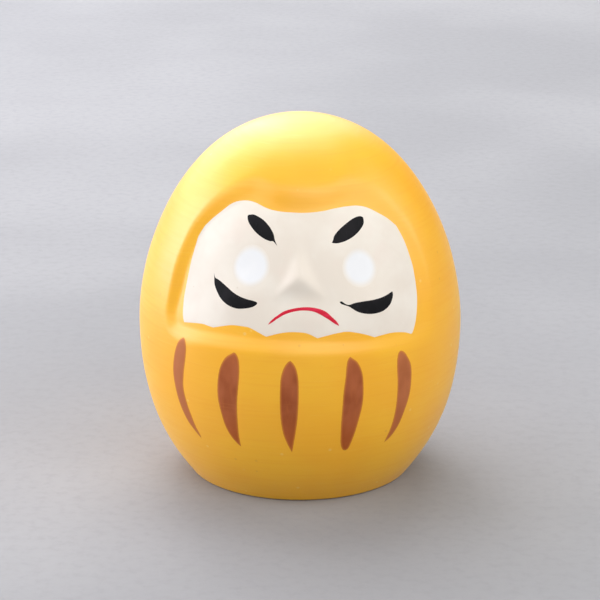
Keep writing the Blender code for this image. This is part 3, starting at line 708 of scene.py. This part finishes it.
STRIPES = [
    ([(-19.32, 26.45), (-19.85, 26.15), (-20.60, 25.18), (-21.30, 23.30), (-21.75, 20.75), (-21.55, 17.90), (-20.95, 15.28), (-19.95, 13.00), (-18.85, 11.60), (-17.95, 10.60), (-17.50, 10.20)],
     [(-19.32, 26.45), (-18.85, 26.15), (-18.52, 25.03), (-18.70, 23.18), (-19.17, 20.91), (-19.50, 18.36), (-19.10, 15.90), (-18.55, 13.93), (-18.10, 12.20), (-17.60, 11.00), (-17.50, 10.20)]),
    ([(-9.99, 25.85), (-10.40, 25.60), (-11.37, 24.87), (-12.26, 23.27), (-12.75, 21.12), (-12.91, 18.42), (-12.56, 15.76), (-12.07, 13.52), (-11.32, 11.95), (-10.40, 10.80), (-9.75, 10.30)],
     [(-9.99, 25.85), (-9.60, 25.70), (-9.16, 24.83), (-9.02, 23.13), (-9.19, 21.00), (-9.49, 18.64), (-9.68, 16.28), (-9.76, 14.17), (-9.82, 12.48), (-9.80, 11.30), (-9.75, 10.30)]),
    ([(-1.40, 25.20), (-1.80, 24.98), (-2.38, 24.10), (-2.87, 22.46), (-3.01, 20.34), (-3.05, 17.91), (-2.95, 15.51), (-2.64, 13.35), (-2.10, 11.70), (-1.60, 10.60), (-1.28, 10.00)],
     [(-1.40, 25.20), (-1.05, 24.90), (-0.52, 23.95), (-0.20, 22.38), (-0.14, 20.30), (-0.19, 18.00), (-0.35, 15.70), (-0.62, 13.64), (-0.90, 12.03), (-1.10, 10.80), (-1.28, 10.00)]),
    ([(7.50, 25.45), (7.12, 25.10), (6.86, 24.03), (6.72, 22.29), (6.47, 20.10), (6.36, 17.67), (6.30, 15.21), (6.36, 12.98), (6.52, 11.23), (6.95, 10.20), (7.45, 9.95)],
     [(7.50, 25.45), (7.90, 25.15), (8.74, 24.35), (9.44, 22.67), (9.68, 20.38), (9.66, 17.81), (9.25, 15.31), (8.80, 13.05), (8.35, 11.32), (7.95, 10.25), (7.45, 9.95)]),
    ([(15.95, 25.15), (15.60, 24.95), (15.29, 24.02), (15.27, 22.36), (15.48, 20.28), (15.58, 17.96), (15.55, 15.64), (15.34, 13.56), (14.98, 11.90), (14.66, 10.90), (14.50, 10.20)],
     [(15.95, 25.15), (16.45, 24.95), (17.25, 24.02), (18.08, 22.44), (18.32, 20.14), (18.20, 17.65), (17.60, 15.19), (16.90, 13.00), (15.97, 11.40), (15.15, 10.60), (14.50, 10.20)]),
]
for number, (edge_a, edge_b) in enumerate(STRIPES, 1):
    node = "robe_stripe_%d" % number
    grid = two_edge_grid(edge_a, edge_b, 72, 15)
    mat = stripe_material(node + "_paint", number * 1.7, (0.40, 0.05, 0.0, 0.02, 0.26)[number - 1])
    finish_piece(sheet_solid(node + "_film", grid, mat, thick=0.022, taper=0.22, down=True), node)

# ------------------------------------------------------------ CAD pieces kept

kept = {
    "shell_front": plain_paper("moulded_paper_front", (0.52, 0.44, 0.33), (0.66, 0.58, 0.45)),
    "shell_rear": plain_paper("moulded_paper_rear", (0.50, 0.43, 0.33), (0.64, 0.57, 0.45)),
    "seam_strip_left": plain_paper("washi_strip_left", (0.72, 0.68, 0.58), (0.80, 0.76, 0.66), 0.80),
    "seam_strip_right": plain_paper("washi_strip_right", (0.72, 0.68, 0.58), (0.80, 0.76, 0.66), 0.80),
    "base_weight": clay_material(),
    "base_disc": plain_paper("base_card", (0.36, 0.27, 0.18), (0.46, 0.36, 0.25), 0.88),
}
for node, mat in kept.items():
    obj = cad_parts[node]
    obj.data.materials.clear()
    obj.data.materials.append(mat)

# ------------------------------------------------------------- floor and light


def floor_material():
    n = Nodes("pale_floor")
    soft = n.noise(scale=(9, 9, 9), detail=3.0, rough=0.5)
    grain = n.noise(scale=(520, 520, 520), detail=4.0, rough=0.6)
    base = n.mix(n.ramp(soft, 0.35, 0.7), (0.255, 0.255, 0.262), (0.300, 0.299, 0.306))
    base = n.mix(n.ramp(grain, 0.45, 0.75, 0.0, 0.25), base, (0.225, 0.224, 0.230))
    n.colour(base)
    n.roughness(n.ramp(grain, 0.3, 0.7, 0.72, 0.86, False))
    n.bump([(grain, 0.05)])
    n.set("Specular IOR Level", 0.25)
    return n.mat


bm = bmesh.new()
bmesh.ops.create_grid(bm, x_segments=12, y_segments=12, size=1.6)
mesh = bpy.data.meshes.new("floor")
bm.to_mesh(mesh)
bm.free()
floor = bpy.data.objects.new("floor", mesh)
bpy.context.scene.collection.objects.link(floor)
floor.location = (0.0, 0.9, -0.00002)
mesh.materials.append(floor_material())


def area_light(name, position, target, size, power, colour=(1, 1, 1), size_y=None):
    data = bpy.data.lights.new(name, "AREA")
    data.shape = "RECTANGLE"
    data.size = size
    data.size_y = size_y or size
    data.energy = power
    data.color = colour
    obj = bpy.data.objects.new(name, data)
    obj.location = position
    obj.rotation_euler = (Vector(target) - Vector(position)).to_track_quat("-Z", "Y").to_euler()
    bpy.context.scene.collection.objects.link(obj)
    return obj


def softbox(name, azimuth, elevation, power, colour=(1.0, 1.0, 1.0), size=0.6, distance=0.9):
    """A square soft light. The azimuth is measured round from the doll's front towards the viewer's right."""
    a, e = math.radians(azimuth), math.radians(elevation)
    toward = Vector((math.sin(a) * math.cos(e), -math.cos(a) * math.cos(e), math.sin(e)))
    data = bpy.data.lights.new(name, "AREA")
    data.size = size
    data.energy = power
    data.color = colour
    obj = bpy.data.objects.new(name, data)
    obj.location = Vector((0.0, 0.0, 0.028)) + toward * distance
    obj.rotation_euler = (-toward).to_track_quat("-Z", "Y").to_euler()
    obj.visible_camera = False
    bpy.context.scene.collection.objects.link(obj)


WINDOW = (1.0, 1.0, 1.10)
softbox("left_low", -105, 15, 7.2, WINDOW)
softbox("window_low", -150, 25, 3.4, WINDOW)
softbox("window_high", -150, 50, 2.4, WINDOW)
softbox("behind_low", 180, 30, 3.2)
softbox("behind_high", 180, 60, 3.5)
softbox("front_left", -60, 30, 2.6)
softbox("front_low", 0, 22, 1.5)
softbox("front_high", 0, 50, 2.2)
softbox("front_right", 40, 35, 2.9)
softbox("right", 90, 30, 3.6)

world = bpy.data.worlds.new("studio")
bpy.context.scene.world = world
world.use_nodes = True
world.node_tree.nodes["Background"].inputs["Color"].default_value = (1.0, 1.0, 1.0, 1.0)
world.node_tree.nodes["Background"].inputs["Strength"].default_value = 0.03

scene = bpy.context.scene
scene.view_settings.view_transform = "Standard"
scene.view_settings.look = "None"
scene.view_settings.exposure = 0.0
scene.view_settings.gamma = 1.0

# --------------------------------------------------------------------- camera

TILT = math.radians(17.0)
DISTANCE = 0.360
FOCAL_PX = 2304.0          # focal length in pixels of a 600-pixel frame
camera_data = bpy.data.cameras.new("camera")
camera_data.sensor_width = 36.0
camera_data.lens = FOCAL_PX / 600.0 * 36.0
camera_data.clip_start = 0.01
camera_data.clip_end = 20.0
camera = bpy.data.objects.new("camera", camera_data)
bpy.context.scene.collection.objects.link(camera)
aim = Vector((0.0, 0.0, HEIGHT * MM / 2))
back = Vector((0.0, -math.cos(TILT), math.sin(TILT)))
camera.location = aim + back * DISTANCE
# the doll stands a little above the middle of the frame
drop = math.atan(9.0 / FOCAL_PX)
view = -back
right = Vector((1.0, 0.0, 0.0))
up = right.cross(view)
look = view * math.cos(drop) - up * math.sin(drop)
camera.rotation_euler = look.to_track_quat("-Z", "Y").to_euler()
bpy.context.scene.camera = camera

# ----------------------------------------------------------------------- end

bpy.context.view_layer.update()
